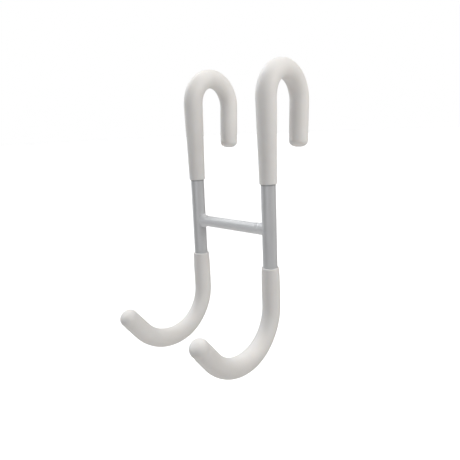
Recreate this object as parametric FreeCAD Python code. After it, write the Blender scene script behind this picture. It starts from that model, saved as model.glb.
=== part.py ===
"""Over-the-door double hook.

Two bent round rods stand side by side, joined by one welded crossbar. The top of each rod bends
over a door and its foot sweeps up into a hook. Four moulded silicone sleeves cover the rods where
they touch the door and where towels hang.

Frame: +X along the crossbar, +Y back over the door, +Z up. The origin is midway between the rods,
on the underside of the top bends, where the object sits on the top edge of the door.
"""
import FreeCAD, Part
import math
import os

Vector = FreeCAD.Vector

# Rods and crossbar
ROD_DIAMETER = 7.0
ROD_SPACING = 47.0
CROSSBAR_DIAMETER = 5.6
CROSSBAR_BELOW_ORIGIN = 71.0
ROD_END_CHAMFER = 0.6

# Bend over the door: the back leg is pinched in a little towards the door
TOP_BEND_RADIUS = 14.3
TOP_BEND_ANGLE = 183.5
BACK_LEG_LENGTH = 22.6

# Straight front leg, between the top bend and the hook
FRONT_LEG_LENGTH = 99.2

# Hook: a tight first bend, a wider second one, then a short straight tip
HOOK_FIRST_RADIUS = 20.7
HOOK_FIRST_ANGLE = 85.0
HOOK_SECOND_RADIUS = 28.0
HOOK_SECOND_ANGLE = 57.5
HOOK_TIP_LENGTH = 14.9

# Silicone sleeves
UPPER_SLEEVE_ON_FRONT_LEG = 39.2
LOWER_SLEEVE_ON_FRONT_LEG = 19.3
SLEEVE_TIP_WALL = 2.2
SLEEVE_MOUTH_ROUNDING = 0.25
BACK_TIP_ROUNDING = 3.2
HOOK_TIP_ROUNDING = 3.6

# Sleeve diameters along the upper sleeve, from its mouth to its closed tip
UPPER_MOUTH_DIAMETER = 8.3
TOP_BEND_START_DIAMETER = 9.8
TOP_BEND_END_DIAMETER = 9.7
BACK_TIP_DIAMETER = 9.6

# Sleeve diameters along the lower sleeve, from its mouth to its closed tip
LOWER_MOUTH_DIAMETER = 8.4
LOWER_SHOULDER_DIAMETER = 9.0
LOWER_SHOULDER_LENGTH = 6.5
HOOK_START_DIAMETER = 8.9
HOOK_LOWEST_DIAMETER = 9.3
HOOK_RISE_DIAMETER = 9.0
HOOK_TIP_DIAMETER = 8.5

# Weld beads round the two ends of the crossbar: each runs from a thin toe on the bar to an oval
# foot on the rod. Reach along the bar, and half width and half height of the foot.
LEFT_WELD = (2.4, 3.3, 4.4)
RIGHT_WELD = (4.4, 3.1, 3.3)
WELD_TOE_HEIGHT = 0.12

ROD_RADIUS = ROD_DIAMETER / 2
CROSSBAR_RADIUS = CROSSBAR_DIAMETER / 2
SADDLE_SLEEVE_RADIUS = (TOP_BEND_START_DIAMETER + TOP_BEND_END_DIAMETER) / 4
TOP_BEND_CENTRE_Z = SADDLE_SLEEVE_RADIUS - TOP_BEND_RADIUS
FRONT_LEG_Y = -TOP_BEND_RADIUS
HOOK_START_Z = TOP_BEND_CENTRE_Z - FRONT_LEG_LENGTH
UP = 90.0
DOWN = -90.0


def direction(heading):
    """Unit vector in the YZ plane; heading 0 points along +Y and 90 along +Z, in degrees."""
    angle = math.radians(heading)
    return Vector(0, math.cos(angle), math.sin(angle))


def run(length):
    """A straight stretch of a limb."""
    return ("run", length, 0.0)


def bend(radius, angle):
    """A bend of a limb, clockwise in the YZ plane."""
    return ("bend", radius, angle)


def limb(start, heading, moves):
    """The edges of a limb's centre line, and (point, heading) at the start and after each move."""
    edges = []
    stations = [(start, heading)]
    point = start
    for kind, size, angle in moves:
        if kind == "run":
            end = point + direction(heading) * size
            edges.append(Part.makeLine(point, end))
        else:
            centre = point + direction(heading - 90) * size
            middle = centre + direction(heading + 90 - angle / 2) * size
            end = centre + direction(heading + 90 - angle) * size
            edges.append(Part.Arc(point, middle, end).toShape())
            heading -= angle
        point = end
        stations.append((point, heading))
    return edges, stations


def disc_edge(station, radius):
    """A circular section across a limb."""
    point, heading = station
    return Part.Wire(Part.makeCircle(radius, point, direction(heading)))


def rim_at(shape, point):
    """The round edge of a shape's flat end that is centred on a point."""
    for edge in shape.Edges:
        if edge.isClosed() and edge.CenterOfMass.distanceToPoint(point) < 0.01:
            return edge
    raise ValueError("no round edge at %s" % point)


def bend_and_back_leg(tip_gap):
    """Moves over the door and down the back leg, stopping short of the tip by a gap."""
    return [
        bend(TOP_BEND_RADIUS, TOP_BEND_ANGLE),
        run(BACK_LEG_LENGTH - tip_gap),
    ]


def hook_bends_and_tip(tip_gap):
    """Moves round the hook, stopping short of its tip by a gap."""
    return [
        bend(HOOK_FIRST_RADIUS, HOOK_FIRST_ANGLE),
        bend(HOOK_SECOND_RADIUS, HOOK_SECOND_ANGLE),
        run(HOOK_TIP_LENGTH - tip_gap),
    ]


def make_rod(x):
    """One bent rod: over the door, down the front leg and round the hook."""
    top_of_leg = Vector(x, FRONT_LEG_Y, TOP_BEND_CENTRE_Z)
    foot_of_leg = Vector(x, FRONT_LEG_Y, HOOK_START_Z)
    back_edges, back_stations = limb(top_of_leg, UP, bend_and_back_leg(SLEEVE_TIP_WALL))
    hook_edges, hook_stations = limb(foot_of_leg, DOWN, hook_bends_and_tip(SLEEVE_TIP_WALL))
    leg_edge = Part.makeLine(top_of_leg, foot_of_leg)
    path = Part.Wire(Part.__sortEdges__(back_edges + [leg_edge] + hook_edges))
    back_end = back_stations[-1]
    shape = path.makePipeShell([disc_edge(back_end, ROD_RADIUS)], True, False)
    rod_ends = [rim_at(shape, end[0]) for end in (back_end, hook_stations[-1])]
    return shape.makeChamfer(ROD_END_CHAMFER, rod_ends)


def make_sleeve(start, heading, moves, diameters, tip_rounding, rod):
    """A moulded sleeve: open at its mouth, closed over the end of its rod."""
    edges, stations = limb(start, heading, moves)
    shell = Part.BRepOffsetAPI.MakePipeShell(Part.Wire(edges))
    for station, diameter in zip(stations, diameters):
        shell.add(disc_edge(station, diameter / 2))
    shell.build()
    shell.makeSolid()
    body = shell.shape()
    body = body.makeFillet(SLEEVE_MOUTH_ROUNDING, [rim_at(body, stations[0][0])])
    body = body.makeFillet(tip_rounding, [rim_at(body, stations[-1][0])])
    return body.cut(rod)


def make_upper_sleeve(x, rod):
    """Covers the back leg, the bend over the door and the top of the front leg."""
    mouth = Vector(x, FRONT_LEG_Y, TOP_BEND_CENTRE_Z - UPPER_SLEEVE_ON_FRONT_LEG)
    diameters = [
        UPPER_MOUTH_DIAMETER,
        TOP_BEND_START_DIAMETER,
        TOP_BEND_END_DIAMETER,
        BACK_TIP_DIAMETER,
    ]
    moves = [run(UPPER_SLEEVE_ON_FRONT_LEG)] + bend_and_back_leg(0.0)
    return make_sleeve(mouth, UP, moves, diameters, BACK_TIP_ROUNDING, rod)


def make_lower_sleeve(x, rod):
    """Covers the foot of the front leg and the whole hook."""
    mouth = Vector(x, FRONT_LEG_Y, HOOK_START_Z + LOWER_SLEEVE_ON_FRONT_LEG)
    diameters = [
        LOWER_MOUTH_DIAMETER,
        LOWER_SHOULDER_DIAMETER,
        HOOK_START_DIAMETER,
        HOOK_LOWEST_DIAMETER,
        HOOK_RISE_DIAMETER,
        HOOK_TIP_DIAMETER,
    ]
    moves = [
        run(LOWER_SHOULDER_LENGTH),
        run(LOWER_SLEEVE_ON_FRONT_LEG - LOWER_SHOULDER_LENGTH),
    ] + hook_bends_and_tip(0.0)
    return make_sleeve(mouth, DOWN, moves, diameters, HOOK_TIP_ROUNDING, rod)


def make_crossbar(rods):
    """The bar between the rods, its ends coped to the round of the rods."""
    start = Vector(-ROD_SPACING / 2, FRONT_LEG_Y, -CROSSBAR_BELOW_ORIGIN)
    bar = Part.makeCylinder(CROSSBAR_RADIUS, ROD_SPACING, start, Vector(1, 0, 0))
    return bar.cut(rods)


def oval(from_middle, half_width, half_height):
    """An upright oval round the crossbar's axis, at a distance from the middle of the bar."""
    centre = Vector(from_middle, FRONT_LEG_Y, -CROSSBAR_BELOW_ORIGIN)
    top = centre + Vector(0, 0, half_height)
    edge = centre + Vector(0, half_width, 0)
    return Part.Wire(Part.Ellipse(top, edge, centre).toShape())


def make_weld_bead(side, weld, rods, crossbar):
    """Weld metal that fills the corner between one rod and the crossbar."""
    reach, half_width, half_height = weld
    toe_radius = CROSSBAR_RADIUS + WELD_TOE_HEIGHT
    toe = oval(side * (ROD_SPACING / 2 - ROD_RADIUS - reach), toe_radius, toe_radius + 0.01)
    foot_depth = math.sqrt(ROD_RADIUS ** 2 - half_width ** 2)
    foot = oval(side * (ROD_SPACING / 2 - foot_depth), half_width, half_height)
    bead = Part.makeLoft([toe, foot], True)
    return bead.cut([crossbar] + rods)


def make_nodes():
    """Every piece of the object, by node name."""
    nodes = {}
    for side_name, side in (("left", -1), ("right", 1)):
        x = side * ROD_SPACING / 2
        rod = make_rod(x)
        nodes["rod_" + side_name] = rod
        nodes["upper_sleeve_" + side_name] = make_upper_sleeve(x, rod)
        nodes["lower_sleeve_" + side_name] = make_lower_sleeve(x, rod)
    rods = [nodes["rod_left"], nodes["rod_right"]]
    nodes["crossbar"] = make_crossbar(rods)
    nodes["weld_bead_left"] = make_weld_bead(-1, LEFT_WELD, rods, nodes["crossbar"])
    nodes["weld_bead_right"] = make_weld_bead(1, RIGHT_WELD, rods, nodes["crossbar"])
    return nodes


def main():
    os.makedirs("parts", exist_ok=True)
    for name, shape in make_nodes().items():
        piece = shape.Solids[0]
        print(name, len(shape.Solids), piece.isValid(), "%.1f mm3" % piece.Volume)
        piece.exportStep("parts/%s.step" % name)


main()
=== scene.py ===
"""The over-the-door double hook as it looks: sleeves, painted rods, crossbar, welds and studio."""

import math

import bpy
import numpy as np
from mathutils import Matrix, Vector


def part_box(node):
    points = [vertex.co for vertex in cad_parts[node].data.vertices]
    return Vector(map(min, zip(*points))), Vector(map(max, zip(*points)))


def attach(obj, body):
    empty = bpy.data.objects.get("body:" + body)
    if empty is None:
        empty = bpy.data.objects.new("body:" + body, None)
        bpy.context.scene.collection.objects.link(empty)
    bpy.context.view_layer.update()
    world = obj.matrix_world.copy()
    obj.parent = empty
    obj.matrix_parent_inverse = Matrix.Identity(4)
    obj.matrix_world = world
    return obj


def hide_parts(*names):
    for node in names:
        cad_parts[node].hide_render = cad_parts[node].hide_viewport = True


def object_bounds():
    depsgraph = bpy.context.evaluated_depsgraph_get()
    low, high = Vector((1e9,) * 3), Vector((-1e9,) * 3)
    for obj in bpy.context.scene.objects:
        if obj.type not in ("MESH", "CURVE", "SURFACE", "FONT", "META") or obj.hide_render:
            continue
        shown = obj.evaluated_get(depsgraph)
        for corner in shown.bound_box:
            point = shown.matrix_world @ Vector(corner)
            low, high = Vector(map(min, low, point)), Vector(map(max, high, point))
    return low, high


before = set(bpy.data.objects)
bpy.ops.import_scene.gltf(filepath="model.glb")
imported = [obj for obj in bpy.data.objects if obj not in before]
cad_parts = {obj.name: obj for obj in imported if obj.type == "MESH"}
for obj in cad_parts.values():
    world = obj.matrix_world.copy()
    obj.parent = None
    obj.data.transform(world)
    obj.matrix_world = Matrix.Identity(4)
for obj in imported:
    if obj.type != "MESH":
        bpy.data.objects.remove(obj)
cad_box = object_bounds()

MM = 0.001

# ---------------------------------------------------------------- sizes, in millimetres
# The hook's bends and the tips, which the boxes of the nodes don't give
TOP_BEND_ANGLE = 183.5
BACK_LEG_LENGTH = 22.6
HOOK_FIRST_RADIUS = 20.7
HOOK_FIRST_ANGLE = 85.0
HOOK_SECOND_RADIUS = 28.0
HOOK_SECOND_ANGLE = 57.5
HOOK_TIP_LENGTH = 14.9
FRONT_LEG_LENGTH = 99.2

# Sleeves: how far each reaches along the front leg, the rounding of its mouth, and its tip wall
UPPER_SLEEVE_REACH = 39.2
UPPER_MOUTH_ROUNDING = 0.25
LOWER_SLEEVE_REACH = 19.3
LOWER_MOUTH_ROUNDING = 0.50
TIP_WALL = 2.2
BORE_CLEARANCE = 0.02
# Inside a mouth: the bevel, as distances and how much wider than the bore it is there, and where
# the straight bore starts
MOUTH_BEVEL = [(0.04, 0.03), (0.0, 0.12)]
BORE_START = 0.15
ROD_END_CHAMFER = 0.6

# Outer radius of the upper sleeve at places along it, from its mouth
UPPER_SLEEVE_RADII = [
    (0.0, 4.14), (10.0, 4.33), (18.0, 4.50), (28.0, 4.72), (39.2, 4.92),
    (62.0, 4.95), (85.0, 4.86), (107.6, 4.80),
]
# Outer radius of the lower sleeve at places along it, from its mouth
LOWER_SLEEVE_RADII = [
    (0.0, 4.15), (3.0, 4.40), (7.0, 4.52), (19.3, 4.48), (34.0, 4.45),
    (50.0, 4.68), (60.0, 4.68), (72.0, 4.50), (93.2, 4.25),
]
RADIUS_SMOOTHING = 2.5
SMOOTHING_REACH = 8.0
SMOOTHING_STEP = 0.1

# Unevenness of the moulded surface: its height, two waves along a sleeve and the twist of two-
# and three-lobed sections, in radians to a millimetre, and how soon it fades towards the ends
MOULD_WAVINESS = 0.035
LONG_WAVE = 0.21
SHORT_WAVE = 0.2573
TWO_LOBE_TWIST = 0.05
THREE_LOBE_TWIST = 0.11
WAVE_FADE = 3.0
UPPER_SLEEVE_PHASE = 0.4
LOWER_SLEEVE_PHASE = 2.1

# Tips: length of the rounding as a share of the radius, and how square it is (2 is an ellipse)
BACK_TIP_ROUNDING = 0.72
BACK_TIP_SQUARENESS = 2.35
HOOK_TIP_ROUNDING = 0.90
HOOK_TIP_SQUARENESS = 2.5
# Crease behind each hook's tip, over the end of the rod: distance from the tip, depth and width
HOOK_TIP_CREASES = {"left": (5.0, 0.08, 1.0), "right": (5.0, 0.24, 1.0)}
NO_CREASE = (0.0, 0.0, 1.0)

# Weld beads: reach along the bar, half width and half height on the rod, fullness from 0 for a
# hollow fillet to 1 for a full bead, how far the foot sits above the bar's axis, and depth of the
# groove across the bead as a share of its radius
LEFT_WELD = (2.4, 2.80, 3.7, 0.60, 0.0, 0.0)
RIGHT_WELD = (4.4, 3.00, 2.95, 1.00, 0.35, 0.15)
# Where the groove lies on the way from toe to foot, and its width, as shares of the way
WELD_GROOVE_PLACE = 0.56
WELD_GROOVE_WIDTH = 0.11
# Ripple round a bead: its size as a share, and its finer and broader lobes
WELD_RIPPLE = 0.05
WELD_FINE_LOBES = 7.0
WELD_BROAD_LOBES = 3.0
# How far the beads are sunk into the rod and the bar, and where in a rod the bar's end lies,
# as a share of the rod's radius
WELD_DEPTH = 0.5
WELD_INNER_TOE = 0.9
CROSSBAR_END = 0.62

RING_SIDES = 96
STATION_STEP = 0.5
TIP_STEPS = 19
MOUTH_STEPS = 9
WELD_STEPS = 31
RING_ANGLES = np.linspace(0.0, 2.0 * math.pi, RING_SIDES, endpoint=False)
ACROSS = np.array([1.0, 0.0, 0.0])


# ---------------------------------------------------------------- centre lines
def direction(heading):
    """Unit vector in the YZ plane; heading 0 points along +Y and 90 along +Z, in degrees."""
    angle = math.radians(heading)
    return np.array([0.0, math.cos(angle), math.sin(angle)])


class Limb:
    """A centre line in the YZ plane: straight runs and clockwise bends, in millimetres."""

    def __init__(self, start, heading, moves):
        self.pieces = []
        point = np.array(start, float)
        s = 0.0
        for kind, size, angle in moves:
            if kind == "run":
                length = size
                turned = 0.0
                end = point + direction(heading) * size
            else:
                length = size * math.radians(angle)
                turned = angle
                centre = point + direction(heading - 90) * size
                end = centre + direction(heading + 90 - angle) * size
            self.pieces.append((s, length, point, heading, size, turned))
            s += length
            heading -= turned
            point = end
        self.length = s

    def at(self, s):
        """Centre, outward normal in the plane, and tangent at a distance along the limb."""
        for start_s, length, point, heading, size, turned in self.pieces:
            if s <= start_s + length:
                break
        along = s - start_s
        if turned == 0.0:
            centre = point + direction(heading) * along
        else:
            swept = turned * along / length
            pivot = point + direction(heading - 90) * size
            heading = heading - swept
            centre = pivot + direction(heading + 90) * size
        return centre, direction(heading + 90), direction(heading)


def run(length):
    """A straight move along a limb."""
    return ("run", length, 0.0)


def bend(radius, angle):
    """A clockwise bend, with its angle in degrees."""
    return ("bend", radius, angle)


# ---------------------------------------------------------------- meshes
def smooth_radii(places, length):
    """A function of distance that runs smoothly through (distance, radius) pairs."""
    margin = SMOOTHING_REACH + 2.0
    fine = np.arange(-margin, length + margin, SMOOTHING_STEP)
    values = np.interp(fine, [s for s, r in places], [r for s, r in places])
    reach = np.arange(-SMOOTHING_REACH, SMOOTHING_REACH, SMOOTHING_STEP)
    weights = np.exp(-0.5 * (reach / RADIUS_SMOOTHING) ** 2)
    padded = np.pad(values, len(reach) // 2, mode="edge")
    smoothed = np.convolve(padded, weights / weights.sum(), mode="same")
    smoothed = smoothed[len(reach) // 2:len(reach) // 2 + len(fine)]
    return lambda s: float(np.interp(s, fine, smoothed))


def waviness(s, angle, phase):
    """A slight unevenness of a moulded surface, between -1 and 1."""
    along = np.sin(LONG_WAVE * s + phase) + 0.6 * np.sin(SHORT_WAVE * s + 2.0 * phase)
    two_lobes = np.sin(2.0 * angle + TWO_LOBE_TWIST * s + phase)
    three_lobes = np.sin(3.0 * angle - THREE_LOBE_TWIST * s)
    around = two_lobes + 0.5 * three_lobes
    return (0.5 * along + 0.5 * around) / 1.6


def add_mesh(name, vertices, faces):
    """A smooth-shaded mesh object; vertices are in millimetres."""
    mesh = bpy.data.meshes.new(name)
    mesh.from_pydata([tuple(np.asarray(v, float) * MM) for v in vertices], [], faces)
    mesh.polygons.foreach_set("use_smooth", [True] * len(mesh.polygons))
    mesh.validate()
    mesh.update()
    piece = bpy.data.objects.new(name, mesh)
    bpy.context.scene.collection.objects.link(piece)
    return piece


def skin(name, rings):
    """Joins rings of points into one closed surface; a ring of one point is a pole."""
    vertices = []
    starts = []
    for ring in rings:
        starts.append(len(vertices))
        vertices.extend(ring)
    faces = []
    for i in range(len(rings) - 1):
        a, b = starts[i], starts[i + 1]
        near, far = len(rings[i]), len(rings[i + 1])
        sides = max(near, far)
        for k in range(sides):
            n = (k + 1) % sides
            if near == 1:
                faces.append((a, b + n, b + k))
            elif far == 1:
                faces.append((a + k, a + n, b))
            else:
                faces.append((a + k, a + n, b + n, b + k))
    return add_mesh(name, vertices, faces)


def swept(name, limb, x, profile, phase=0.0, waves=0.0):
    """Turns a profile of (distance, radius, share of the waves) round a limb; radius 0 is a pole."""
    rings = []
    for s, radius, wavy in profile:
        centre, normal, tangent = limb.at(s)
        centre = centre + ACROSS * x
        if radius == 0.0:
            rings.append([centre])
            continue
        size = radius + wavy * waves * waviness(s, RING_ANGLES, phase)
        rings.append([
            centre + r * (math.cos(a) * normal + math.sin(a) * ACROSS)
            for r, a in zip(size, RING_ANGLES)
        ])
    return skin(name, rings)


def stations(first, last):
    """Distances from first to last, evenly spaced at about STATION_STEP."""
    count = max(2, int(abs(last - first) / STATION_STEP) + 1)
    return np.linspace(first, last, count)


def tip_profile(end, radius, rounding, squareness):
    """The rounded tip of a sleeve, from its full radius to the pole."""
    length = rounding * radius
    points = []
    for t in np.linspace(0.0, 1.0, TIP_STEPS)[1:-1]:
        angle = t * math.pi / 2
        out = radius * math.cos(angle) ** (2 / squareness)
        along = end - length + length * math.sin(angle) ** (2 / squareness)
        points.append((along, out, 0.0))
    points.append((end, 0.0, 0.0))
    return points


def sleeve_profile(length, radius_at, bore, mouth_rounding, rounding, squareness, crease):
    """A closed sleeve wall: the bore, the rounded mouth, the outside and the closed tip."""
    profile = [(length - TIP_WALL, 0.0, 0.0)]
    profile += [(s, bore, 0.0) for s in stations(length - TIP_WALL, BORE_START)]
    profile += [(s, bore + wider, 0.0) for s, wider in MOUTH_BEVEL]
    mouth = radius_at(mouth_rounding)
    for t in np.linspace(0.0, 1.0, MOUTH_STEPS):
        angle = t * math.pi / 2
        along = mouth_rounding * (1.0 - math.cos(angle))
        out = mouth - mouth_rounding * (1.0 - math.sin(angle))
        profile.append((along, out, 0.0))
    tip_radius = radius_at(length)
    tip_start = length - rounding * tip_radius
    crease_place, crease_depth, crease_width = crease
    for s in stations(mouth_rounding, tip_start)[1:]:
        fade = min(1.0, (s - mouth_rounding) / WAVE_FADE, (tip_start - s) / WAVE_FADE)
        from_crease = (length - s - crease_place) / crease_width
        dip = crease_depth * math.exp(-from_crease ** 2)
        profile.append((s, radius_at(s) - dip, fade))
    profile += tip_profile(length, tip_radius, rounding, squareness)
    return profile


# ---------------------------------------------------------------- places, from the frame
rod_low, rod_high = (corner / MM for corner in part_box("rod_left"))
ROD_RADIUS = (rod_high.x - rod_low.x) / 2
TOP_BEND_RADIUS = rod_high.y - ROD_RADIUS
TOP_BEND_CENTRE_Z = rod_high.z - ROD_RADIUS - TOP_BEND_RADIUS
FRONT_LEG_Y = -TOP_BEND_RADIUS
HOOK_START_Z = TOP_BEND_CENTRE_Z - FRONT_LEG_LENGTH
bar_low, bar_high = (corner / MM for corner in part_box("crossbar"))
CROSSBAR_RADIUS = (bar_high.z - bar_low.z) / 2
CROSSBAR_Z = (bar_high.z + bar_low.z) / 2


def rod_x(side):
    """Where the middle of one rod is along the crossbar, in millimetres."""
    low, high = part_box("rod_" + side)
    return (low.x + high.x) / 2 / MM


def over_door(front_part):
    """The way up the rest of the front leg, over the door and down the back leg."""
    return [run(front_part), bend(TOP_BEND_RADIUS, TOP_BEND_ANGLE), run(BACK_LEG_LENGTH)]


def hook(front_part):
    """The way down the rest of the front leg and round the hook to its tip."""
    return [
        run(front_part),
        bend(HOOK_FIRST_RADIUS, HOOK_FIRST_ANGLE),
        bend(HOOK_SECOND_RADIUS, HOOK_SECOND_ANGLE),
        run(HOOK_TIP_LENGTH),
    ]


# ---------------------------------------------------------------- pieces
def make_rod(side):
    """One bent rod, drawn as two limbs from the middle of the front leg so that both ends close."""
    x = rod_x(side)
    middle = FRONT_LEG_LENGTH / 2
    centre = (0.0, FRONT_LEG_Y, TOP_BEND_CENTRE_Z - middle)
    up = Limb(centre, 90.0, over_door(middle))
    down = Limb(centre, -90.0, hook(middle))

    def ring(limb, s, radius, flip):
        at, normal, tangent = limb.at(s)
        at = at + ACROSS * x
        if radius == 0.0:
            return [at]
        return [
            at + radius * (flip * math.cos(a) * normal + math.sin(a) * ACROSS)
            for a in RING_ANGLES
        ]

    up_end = up.length - TIP_WALL
    down_end = down.length - TIP_WALL
    rings = [
        ring(down, down_end, 0.0, -1),
        ring(down, down_end, ROD_RADIUS - ROD_END_CHAMFER, -1),
    ]
    for s in stations(down_end - ROD_END_CHAMFER, 0.0):
        rings.append(ring(down, s, ROD_RADIUS, -1))
    for s in stations(STATION_STEP, up_end - ROD_END_CHAMFER):
        rings.append(ring(up, s, ROD_RADIUS, 1))
    rings.append(ring(up, up_end, ROD_RADIUS - ROD_END_CHAMFER, 1))
    rings.append(ring(up, up_end, 0.0, 1))
    return skin("bent_rod_" + side, rings)


def make_upper_sleeve(side, phase):
    """The sleeve over the back leg, the top bend and the top of the front leg."""
    x = rod_x(side)
    mouth = (0.0, FRONT_LEG_Y, TOP_BEND_CENTRE_Z - UPPER_SLEEVE_REACH)
    limb = Limb(mouth, 90.0, over_door(UPPER_SLEEVE_REACH))
    radius_at = smooth_radii(UPPER_SLEEVE_RADII, limb.length)
    profile = sleeve_profile(
        limb.length, radius_at, ROD_RADIUS + BORE_CLEARANCE,
        UPPER_MOUTH_ROUNDING, BACK_TIP_ROUNDING, BACK_TIP_SQUARENESS, NO_CREASE,
    )
    return swept("silicone_upper_sleeve_" + side, limb, x, profile, phase, MOULD_WAVINESS)


def make_lower_sleeve(side, phase):
    """The sleeve over the foot of the front leg and the hook."""
    x = rod_x(side)
    mouth = (0.0, FRONT_LEG_Y, HOOK_START_Z + LOWER_SLEEVE_REACH)
    limb = Limb(mouth, -90.0, hook(LOWER_SLEEVE_REACH))
    radius_at = smooth_radii(LOWER_SLEEVE_RADII, limb.length)
    profile = sleeve_profile(
        limb.length, radius_at, ROD_RADIUS + BORE_CLEARANCE,
        LOWER_MOUTH_ROUNDING, HOOK_TIP_ROUNDING, HOOK_TIP_SQUARENESS, HOOK_TIP_CREASES[side],
    )
    return swept("silicone_lower_sleeve_" + side, limb, x, profile, phase, MOULD_WAVINESS)


def make_crossbar():
    """A plain round bar whose ends are buried in the rods by the weld."""
    start = rod_x("left") + ROD_RADIUS * CROSSBAR_END
    end = rod_x("right") - ROD_RADIUS * CROSSBAR_END
    y = FRONT_LEG_Y + CROSSBAR_RADIUS * np.cos(RING_ANGLES)
    z = CROSSBAR_Z + CROSSBAR_RADIUS * np.sin(RING_ANGLES)
    rings = [[np.array([start, FRONT_LEG_Y, CROSSBAR_Z])]]
    for x in stations(start, end):
        rings.append(np.column_stack([np.full(RING_SIDES, x), y, z]))
    rings.append([np.array([end, FRONT_LEG_Y, CROSSBAR_Z])])
    return skin("welded_crossbar", rings)


def make_weld(side, sign, reach, half_width, half_height, fullness, lift, groove):
    """A bead of weld metal: its face runs from a toe on the bar to a foot that wraps the rod."""
    angles = RING_ANGLES[::sign]
    across, up = np.cos(angles), np.sin(angles)
    fine = np.sin(WELD_FINE_LOBES * angles + 1.3 * sign)
    broad = np.sin(WELD_BROAD_LOBES * angles + 0.7)
    ripple = WELD_RIPPLE * (fine + broad)

    def on_rod(y):
        return rod_x(side) - sign * np.sqrt(ROD_RADIUS ** 2 - y ** 2)

    toe_x = rod_x(side) - sign * (ROD_RADIUS + reach * (1.0 + ripple))
    toe = np.array([toe_x, CROSSBAR_RADIUS * across, CROSSBAR_RADIUS * up])
    foot_y = half_width * across
    foot = np.array([on_rod(foot_y), foot_y, half_height * (1.0 + 0.5 * ripple) * up + lift])
    corner = np.array([on_rod(toe[1]), toe[1], toe[2]])
    bulge = corner + fullness * (toe + foot - 2.0 * corner)
    inward = np.array([[sign * WELD_DEPTH], [0.0], [0.0]])
    inner_toe = toe * [[1.0], [WELD_INNER_TOE], [WELD_INNER_TOE]] + inward
    rings = [[np.array([toe[0].mean(), 0.0, 0.0])], inner_toe.T]
    for t in np.linspace(0.0, 1.0, WELD_STEPS):
        face = (1.0 - t) ** 2 * toe + 2.0 * t * (1.0 - t) * bulge + t * t * foot
        dip = groove * math.exp(-((t - WELD_GROOVE_PLACE) / WELD_GROOVE_WIDTH) ** 2)
        rings.append((face * [[1.0], [1.0 - dip], [1.0 - dip]]).T)
    rings.append((foot + inward).T)
    rings.append([np.array([rod_x(side), 0.0, 0.0])])
    middle = np.array([0.0, FRONT_LEG_Y, CROSSBAR_Z])
    return skin("weld_" + side, [[point + middle for point in ring] for ring in rings])


# ---------------------------------------------------------------- materials
# How light the paint is on the rods, and on the crossbar and its welds; the second is painted light,
# a lighter copy of the same paint
ROD_SHADE = 0.69
BAR_LIT_SHADE = 0.80
# Least and greatest roughness, and how metallic the paint is
ROD_GLOSS = (0.32, 0.42, 0.22)
BAR_GLOSS = (0.38, 0.48, 0.06)
PAINT_DARKEST = np.array((0.965, 0.982, 1.008))
PAINT_LIGHTEST = np.array((1.015, 1.032, 1.058))
SILICONE_DARKEST = (0.815, 0.800, 0.785)
SILICONE_LIGHTEST = (0.850, 0.840, 0.825)
# The painted shadow on the rod under an upper sleeve's mouth: its width in millimetres and its shade
MOUTH_SHADOW_WIDTH = 0.9
MOUTH_SHADOW_DARKNESS = 0.42
# The values of a noise that the ends of a range of colours or numbers stand for
NOISE_LOW = 0.3
NOISE_HIGH = 0.7


def material(name):
    """A new material with its nodes, its links and its shader."""
    made = bpy.data.materials.new(name)
    made.use_nodes = True
    nodes, links = made.node_tree.nodes, made.node_tree.links
    shader = next(n for n in nodes if n.type == "BSDF_PRINCIPLED")
    return made, nodes, links, shader


def noise(nodes, links, coordinates, scale, detail):
    """A noise fixed to the object, with about this many cycles to a metre."""
    texture = nodes.new("ShaderNodeTexNoise")
    texture.inputs["Scale"].default_value = scale
    texture.inputs["Detail"].default_value = detail
    links.new(coordinates.outputs["Object"], texture.inputs["Vector"])
    return texture


def ramp(nodes, links, source, low, high):
    """Maps a noise to a range of colours."""
    made = nodes.new("ShaderNodeValToRGB")
    made.color_ramp.elements[0].position = NOISE_LOW
    made.color_ramp.elements[0].color = (*low, 1.0)
    made.color_ramp.elements[1].position = NOISE_HIGH
    made.color_ramp.elements[1].color = (*high, 1.0)
    links.new(source.outputs["Fac"], made.inputs["Fac"])
    return made


def value_range(nodes, links, source, low, high):
    """Maps a noise to a range of numbers."""
    made = nodes.new("ShaderNodeMapRange")
    made.inputs["From Min"].default_value = NOISE_LOW
    made.inputs["From Max"].default_value = NOISE_HIGH
    made.inputs["To Min"].default_value = low
    made.inputs["To Max"].default_value = high
    links.new(source.outputs["Fac"], made.inputs["Value"])
    return made


def bump(nodes, links, source, distance, strength, previous=None):
    """Raises the surface by a noise, at most this many metres, over another bump if one is given."""
    made = nodes.new("ShaderNodeBump")
    made.inputs["Distance"].default_value = distance
    made.inputs["Strength"].default_value = strength
    links.new(source.outputs["Fac"], made.inputs["Height"])
    if previous is not None:
        links.new(previous.outputs["Normal"], made.inputs["Normal"])
    return made


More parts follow.
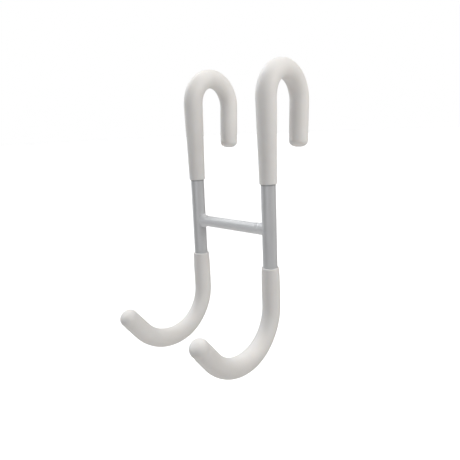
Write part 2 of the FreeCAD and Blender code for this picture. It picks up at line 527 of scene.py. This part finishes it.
def make_silicone():
    """Warm white moulded silicone: soft, matte, faintly cloudy, with a fine satin grain."""
    made, nodes, links, shader = material("white_silicone")
    coordinates = nodes.new("ShaderNodeTexCoord")
    cloud = noise(nodes, links, coordinates, scale=90.0, detail=3.0)
    colour = ramp(nodes, links, cloud, SILICONE_DARKEST, SILICONE_LIGHTEST)
    links.new(colour.outputs["Color"], shader.inputs["Base Color"])
    patches = noise(nodes, links, coordinates, scale=240.0, detail=4.0)
    satin = value_range(nodes, links, patches, low=0.46, high=0.60)
    links.new(satin.outputs["Result"], shader.inputs["Roughness"])
    fine = noise(nodes, links, coordinates, scale=5200.0, detail=2.0)
    grain = bump(nodes, links, fine, distance=0.02 * MM, strength=0.35)
    broad = noise(nodes, links, coordinates, scale=320.0, detail=2.0)
    swell = bump(nodes, links, broad, distance=0.08 * MM, strength=0.30, previous=grain)
    links.new(swell.outputs["Normal"], shader.inputs["Normal"])
    shader.inputs["Subsurface Weight"].default_value = 0.25
    shader.inputs["Subsurface Radius"].default_value = (1.0, 0.85, 0.7)
    shader.inputs["Subsurface Scale"].default_value = 0.0012
    shader.inputs["IOR"].default_value = 1.41
    shader.inputs["Specular IOR Level"].default_value = 0.35
    return made


def painted_mouth_shadow(nodes, links, coordinates, colour):
    """Paints shade into the rod's colour: a thin darker line under the upper sleeve's mouth, its
    shadow.
    """
    axes = nodes.new("ShaderNodeSeparateXYZ")
    links.new(coordinates.outputs["Object"], axes.inputs["Vector"])
    mouth_z = (TOP_BEND_CENTRE_Z - UPPER_SLEEVE_REACH) * MM
    darkness = nodes.new("ShaderNodeMapRange")
    darkness.inputs["From Min"].default_value = mouth_z - MOUTH_SHADOW_WIDTH * MM
    darkness.inputs["From Max"].default_value = mouth_z
    darkness.inputs["To Min"].default_value = 1.0
    darkness.inputs["To Max"].default_value = MOUTH_SHADOW_DARKNESS
    links.new(axes.outputs["Z"], darkness.inputs["Value"])
    darkened = nodes.new("ShaderNodeVectorMath")
    darkened.operation = "SCALE"
    links.new(colour.outputs["Color"], darkened.inputs["Vector"])
    links.new(darkness.outputs["Result"], darkened.inputs["Scale"])
    return darkened.outputs["Vector"]


def make_paint(name, shade, gloss, shadowed_mouth):
    """Light cool grey powder coat on steel, with a fine orange-peel surface, and if asked a painted
    shadow under the upper sleeves' mouths.
    """
    made, nodes, links, shader = material(name)
    coordinates = nodes.new("ShaderNodeTexCoord")
    cloud = noise(nodes, links, coordinates, scale=140.0, detail=3.0)
    colour = ramp(nodes, links, cloud, PAINT_DARKEST * shade, PAINT_LIGHTEST * shade)
    # A painted shadow: the colour is darkened in a thin line under the upper sleeves' mouths
    tint = painted_mouth_shadow(nodes, links, coordinates, colour) if shadowed_mouth else colour.outputs["Color"]
    links.new(tint, shader.inputs["Base Color"])
    smoothest, roughest, metallic = gloss
    patches = noise(nodes, links, coordinates, scale=400.0, detail=3.0)
    satin = value_range(nodes, links, patches, smoothest, roughest)
    links.new(satin.outputs["Result"], shader.inputs["Roughness"])
    dimples = noise(nodes, links, coordinates, scale=1500.0, detail=1.0)
    peel = bump(nodes, links, dimples, distance=0.04 * MM, strength=0.35)
    links.new(peel.outputs["Normal"], shader.inputs["Normal"])
    shader.inputs["Metallic"].default_value = metallic
    return made


def make_floor_material():
    """A matte off-white floor that glows a little, so that it stays pale to the horizon."""
    made, nodes, links, shader = material("pale_floor")
    coordinates = nodes.new("ShaderNodeTexCoord")
    cloud = noise(nodes, links, coordinates, scale=3.0, detail=2.0)
    colour = ramp(nodes, links, cloud, (0.93, 0.93, 0.93), (0.95, 0.95, 0.95))
    links.new(colour.outputs["Color"], shader.inputs["Base Color"])
    shader.inputs["Roughness"].default_value = 0.9
    shader.inputs["Emission Color"].default_value = (1.0, 1.0, 1.0, 1.0)
    shader.inputs["Emission Strength"].default_value = FLOOR_GLOW
    return made


# ---------------------------------------------------------------- assembly
silicone = make_silicone()
# The rods' paint, with the painted shadow under the upper sleeves' mouths
paint = make_paint("grey_powder_coat", ROD_SHADE, ROD_GLOSS, True)
# The same paint made lighter for the crossbar and welds: painted light, for the brighter lighting on
# the bar
lit_bar_paint = make_paint("grey_powder_coat_painted_lighter", BAR_LIT_SHADE, BAR_GLOSS, False)


def settle(piece, finish, slot, *nodes):
    """Gives a piece its finish and its place in the frame."""
    piece.data.materials.append(finish)
    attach(piece, "root")
    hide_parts(*nodes)


for index, side in enumerate(("left", "right")):
    settle(make_rod(side), paint, "painted_steel", "rod_" + side)
    upper_sleeve = make_upper_sleeve(side, UPPER_SLEEVE_PHASE + index)
    lower_sleeve = make_lower_sleeve(side, LOWER_SLEEVE_PHASE + index)
    settle(upper_sleeve, silicone, "silicone", "upper_sleeve_" + side)
    settle(lower_sleeve, silicone, "silicone", "lower_sleeve_" + side)
settle(make_crossbar(), lit_bar_paint, "painted_steel", "crossbar")
settle(make_weld("left", -1, *LEFT_WELD), lit_bar_paint, "painted_steel", "weld_bead_left")
settle(make_weld("right", 1, *RIGHT_WELD), lit_bar_paint, "painted_steel", "weld_bead_right")


# ---------------------------------------------------------------- studio
# The floor: how far it is below the object and how wide, in millimetres, and its own glow
FLOOR_DROP = 120.0
FLOOR_SIZE = 30000.0
FLOOR_GLOW = 0.6
# The light from below
LOWER_GLOW = 0.90
LOWER_COLOUR = (1.035, 1.0, 0.965, 1.0)
# The lamps: how wide the broad ones look, in degrees, the softboxes' size and distance, in
# metres, what they are all aimed at, in millimetres, and their colours
SKY_LAMP_ANGLE = 50.0
NEAR_LAMP_SIZE = 0.30
NEAR_LAMP_DISTANCE = 0.36
LAMP_TARGET = Vector((0.0, -20.0, -30.0))
COOL = (0.985, 1.0, 1.02)
WARM = (1.02, 1.0, 0.97)

# Broad lamps as far away as the sky: azimuth, elevation, strength, colour
SKY_LAMPS = {
    "sky_left": (275.0, 10.0, 0.22, COOL),
    "sky_left_high": (266.0, 45.0, 0.54, COOL),
    "sky_front": (15.0, 10.0, 0.21, COOL),
    "sky_right_high": (90.0, 45.0, 0.27, WARM),
}
# Softboxes close to the top of the object: azimuth, elevation, watts, colour
NEAR_LAMPS = {
    "softbox_back_right": (120.0, 25.0, 0.56, WARM),
    "softbox_top": (0.0, 89.0, 0.50, WARM),
}


def make_floor():
    """A plain pale floor well below the hanging object; it doesn't light the object's underside."""
    z = cad_box[0].z / MM - FLOOR_DROP
    half = FLOOR_SIZE / 2
    corners = [(-half, -half, z), (half, -half, z), (half, half, z), (-half, half, z)]
    floor = add_mesh("floor", corners, [(0, 1, 2, 3)])
    floor.data.materials.append(make_floor_material())
    floor.visible_diffuse = False
    floor.visible_glossy = False
    floor.visible_shadow = False


def make_world():
    """A glow from below that lights the object, seen by the camera as a white backdrop."""
    world = bpy.data.worlds.new("studio")
    bpy.context.scene.world = world
    world.use_nodes = True
    nodes, links = world.node_tree.nodes, world.node_tree.links
    nodes.clear()
    coordinates = nodes.new("ShaderNodeTexCoord")
    axes = nodes.new("ShaderNodeSeparateXYZ")
    links.new(coordinates.outputs["Generated"], axes.inputs["Vector"])
    below = nodes.new("ShaderNodeMath")
    below.operation = "MULTIPLY"
    below.use_clamp = True
    below.inputs[1].default_value = -1.0
    links.new(axes.outputs["Z"], below.inputs[0])
    strength = nodes.new("ShaderNodeMath")
    strength.operation = "MULTIPLY"
    strength.inputs[1].default_value = LOWER_GLOW
    links.new(below.outputs["Value"], strength.inputs[0])
    light = nodes.new("ShaderNodeBackground")
    light.inputs["Color"].default_value = LOWER_COLOUR
    links.new(strength.outputs["Value"], light.inputs["Strength"])
    backdrop = nodes.new("ShaderNodeBackground")
    backdrop.inputs["Color"].default_value = (1.0, 1.0, 1.0, 1.0)
    path = nodes.new("ShaderNodeLightPath")
    mix = nodes.new("ShaderNodeMixShader")
    output = nodes.new("ShaderNodeOutputWorld")
    links.new(path.outputs["Is Camera Ray"], mix.inputs["Fac"])
    links.new(light.outputs["Background"], mix.inputs[1])
    links.new(backdrop.outputs["Background"], mix.inputs[2])
    links.new(mix.outputs["Shader"], output.inputs["Surface"])


def aim(thing, place, target, roll=0.0):
    """Puts a lamp or camera at a place, looking at a target."""
    thing.location = place
    turn = (target - place).to_track_quat("-Z", "Y")
    thing.rotation_mode = "QUATERNION"
    thing.rotation_quaternion = turn @ Matrix.Rotation(math.radians(roll), 3, "Z").to_quaternion()


def from_angle(azimuth, elevation, distance):
    """An offset from the object; azimuth 0 is in front, at -Y, and 90 is at +X."""
    a, e = math.radians(azimuth), math.radians(elevation)
    return Vector((math.sin(a) * math.cos(e), -math.cos(a) * math.cos(e), math.sin(e))) * distance


def add_lamp(name, kind, azimuth, elevation, distance, energy, colour):
    """A lamp aimed at the object, a little below the top bends."""
    data = bpy.data.lights.new(name, kind)
    data.energy = energy
    data.color = colour
    lamp = bpy.data.objects.new(name, data)
    bpy.context.scene.collection.objects.link(lamp)
    middle = LAMP_TARGET * MM
    aim(lamp, middle + from_angle(azimuth, elevation, distance), middle)
    return data


def make_lamps():
    """The broad lamps and the softboxes."""
    for name, (azimuth, elevation, strength, colour) in SKY_LAMPS.items():
        data = add_lamp(name, "SUN", azimuth, elevation, 1.0, strength * math.pi, colour)
        data.angle = math.radians(SKY_LAMP_ANGLE)
    for name, (azimuth, elevation, watts, colour) in NEAR_LAMPS.items():
        data = add_lamp(name, "AREA", azimuth, elevation, NEAR_LAMP_DISTANCE, watts, colour)
        data.shape = "DISK"
        data.size = NEAR_LAMP_SIZE


# The camera: degrees and metres, its lens in millimetres, its shift as a share of the frame, and
# the point it is aimed at, in millimetres from the middle of the crossbar
CAMERA_AZIMUTH = 41.05
CAMERA_ELEVATION = 9.84
CAMERA_ROLL = -2.4
CAMERA_DISTANCE = 0.2119
CAMERA_LENS = 32.44
CAMERA_SHIFT = -0.06
AIM_X = -0.7
AIM_ABOVE_CROSSBAR = 11.6


def make_camera():
    """The camera, aimed at a point above the crossbar and a little to its left."""
    data = bpy.data.cameras.new("camera")
    data.lens = CAMERA_LENS
    data.sensor_width = 36.0
    data.shift_y = CAMERA_SHIFT
    data.clip_start = 0.01
    data.clip_end = 100.0
    camera = bpy.data.objects.new("camera", data)
    bpy.context.scene.collection.objects.link(camera)
    target = Vector((AIM_X, FRONT_LEG_Y, CROSSBAR_Z + AIM_ABOVE_CROSSBAR)) * MM
    place = target + from_angle(CAMERA_AZIMUTH, CAMERA_ELEVATION, CAMERA_DISTANCE)
    aim(camera, place, target, CAMERA_ROLL)
    bpy.context.scene.camera = camera


make_floor()
make_world()
make_lamps()
make_camera()
bpy.context.scene.view_settings.view_transform = "Standard"
